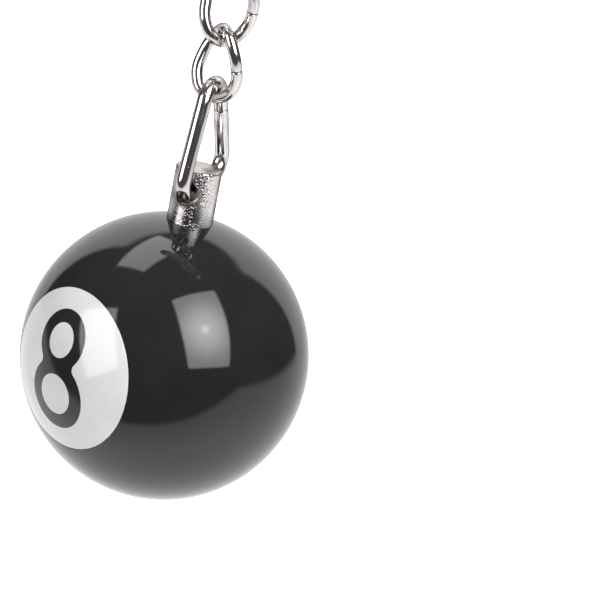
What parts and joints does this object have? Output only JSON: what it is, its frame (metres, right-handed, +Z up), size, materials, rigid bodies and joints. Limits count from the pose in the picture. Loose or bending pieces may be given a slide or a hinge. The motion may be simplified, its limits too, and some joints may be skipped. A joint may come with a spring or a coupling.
{
  "type": "eight ball key charm",
  "caption": "Miniature numbered pool ball hung on a plated peg, triangular wire bail and twisted curb chain from a split key ring.",
  "frame": {"origin": "inside the top of the split ring, where a hook or peg bears", "axes": "+Z up along the taut chain, the numbered disc faces -Y"},
  "size_m": [0.03, 0.025, 0.0831],
  "materials": {
    "black_resin": "polished",
    "white_resin": "polished",
    "numeral_resin": "polished",
    "plated_peg": "bright nickel plate",
    "plated_wire": "bright nickel plate",
    "plated_strip": "bright nickel plate"
  },
  "bodies": {
    "key_ring": {"key_ring": "plated_strip"},
    "chain_link_4": {"chain_link_4": "plated_wire"},
    "chain_link_3": {"chain_link_3": "plated_wire"},
    "chain_link_2": {"chain_link_2": "plated_wire"},
    "chain_link_1": {"chain_link_1": "plated_wire"},
    "bail": {"bail": "plated_wire"},
    "ball": {"ball_body": "black_resin", "number_insert_front": "white_resin", "numeral_front": "numeral_resin", "number_insert_back": "white_resin", "numeral_back": "numeral_resin", "hanger_peg": "plated_peg"}
  },
  "joints": [
    {"name": "link_4_round_ring", "type": "hinge", "parent": "key_ring", "child": "chain_link_4", "pos_m": [0, 0, -0.013], "axis": [-0.1392, 0.9903, 0], "range_deg": [-120, 120]},
    {"name": "link_3_on_link_4", "type": "hinge", "parent": "chain_link_4", "child": "chain_link_3", "pos_m": [0, 0, -0.03072], "axis": [-0.9703, 0.2419, 0], "range_deg": [-35, 35]},
    {"name": "link_2_on_link_3", "type": "hinge", "parent": "chain_link_3", "child": "chain_link_2", "pos_m": [0, 0, -0.03452], "axis": [0.9703, 0.2419, 0], "range_deg": [-35, 35]},
    {"name": "link_1_on_link_2", "type": "hinge", "parent": "chain_link_2", "child": "chain_link_1", "pos_m": [0, 0, -0.04042], "axis": [0.1392, 0.9903, 0], "range_deg": [-35, 35]},
    {"name": "bail_on_link_1", "type": "hinge", "parent": "chain_link_1", "child": "bail", "pos_m": [0, 0, -0.04527], "axis": [0.766, 0.6428, 0], "range_deg": [-35, 35]},
    {"name": "ball_on_bail", "type": "hinge", "parent": "bail", "child": "ball", "pos_m": [0, 0, -0.05354], "axis": [-0.4067, 0.9135, 0], "range_deg": [-60, 60]}
  ]
}
